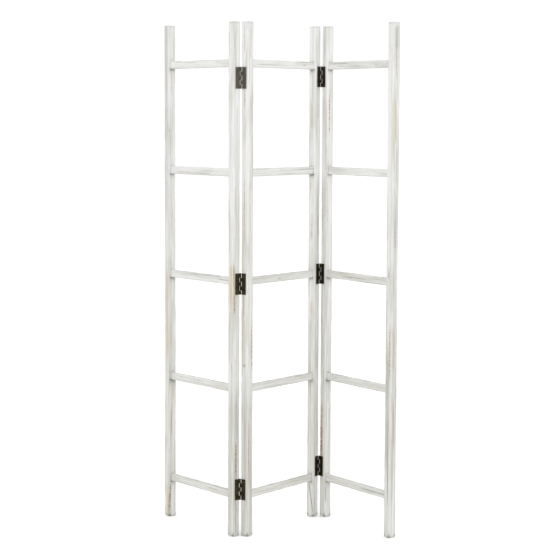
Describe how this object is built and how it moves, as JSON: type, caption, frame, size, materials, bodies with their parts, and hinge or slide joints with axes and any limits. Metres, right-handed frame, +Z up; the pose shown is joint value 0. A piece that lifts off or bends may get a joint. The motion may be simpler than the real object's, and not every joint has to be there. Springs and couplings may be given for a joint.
{
  "type": "folding room divider screen",
  "caption": "Open ladder-style folding screen: hinged panels of square posts and flat rungs, standing in a zigzag on its post ends.",
  "frame": {"origin": "middle of the standing screen's footprint, on the floor", "axes": "+Z up, +X along the line that the screen spans, from the left panel to the right one, and -Y towards the front"},
  "size_m": [0.7854, 0.3482, 1.7],
  "materials": {
    "post_limewash": "brushed white limewash, worn through in streaks",
    "rung_limewash": "brushed white limewash",
    "leaf_bronze": "antique bronze plate, satin",
    "pin_bronze": "dark bronze plate, satin"
  },
  "bodies": {
    "middle_panel": {"left_low_hinge_inner_leaf": "leaf_bronze", "left_mid_hinge_inner_leaf": "leaf_bronze", "left_top_hinge_inner_leaf": "leaf_bronze", "middle_left_post": "post_limewash", "middle_right_post": "post_limewash", "middle_rung_1": "rung_limewash", "middle_rung_2": "rung_limewash", "middle_rung_3": "rung_limewash", "middle_rung_4": "rung_limewash", "middle_rung_5": "rung_limewash", "right_low_hinge_inner_leaf": "leaf_bronze", "right_mid_hinge_inner_leaf": "leaf_bronze", "right_top_hinge_inner_leaf": "leaf_bronze"},
    "left_panel": {"left_hinge_post": "post_limewash", "left_low_hinge_outer_leaf": "leaf_bronze", "left_low_hinge_pin": "pin_bronze", "left_mid_hinge_outer_leaf": "leaf_bronze", "left_mid_hinge_pin": "pin_bronze", "left_outer_post": "post_limewash", "left_rung_1": "rung_limewash", "left_rung_2": "rung_limewash", "left_rung_3": "rung_limewash", "left_rung_4": "rung_limewash", "left_rung_5": "rung_limewash", "left_top_hinge_outer_leaf": "leaf_bronze", "left_top_hinge_pin": "pin_bronze"},
    "right_panel": {"right_hinge_post": "post_limewash", "right_low_hinge_outer_leaf": "leaf_bronze", "right_low_hinge_pin": "pin_bronze", "right_mid_hinge_outer_leaf": "leaf_bronze", "right_mid_hinge_pin": "pin_bronze", "right_outer_post": "post_limewash", "right_rung_1": "rung_limewash", "right_rung_2": "rung_limewash", "right_rung_3": "rung_limewash", "right_rung_4": "rung_limewash", "right_rung_5": "rung_limewash", "right_top_hinge_outer_leaf": "leaf_bronze", "right_top_hinge_pin": "pin_bronze"}
  },
  "joints": [
    {"name": "left_fold", "type": "hinge", "parent": "middle_panel", "child": "left_panel", "pos_m": [-0.12331, -0.14685, 0], "axis": [0, 0, 1], "range_deg": [-74.9, 105.1]},
    {"name": "right_fold", "type": "hinge", "parent": "middle_panel", "child": "right_panel", "pos_m": [0.14474, 0.15653, 0], "axis": [0, 0, 1], "range_deg": [-70.8, 109.2]}
  ]
}
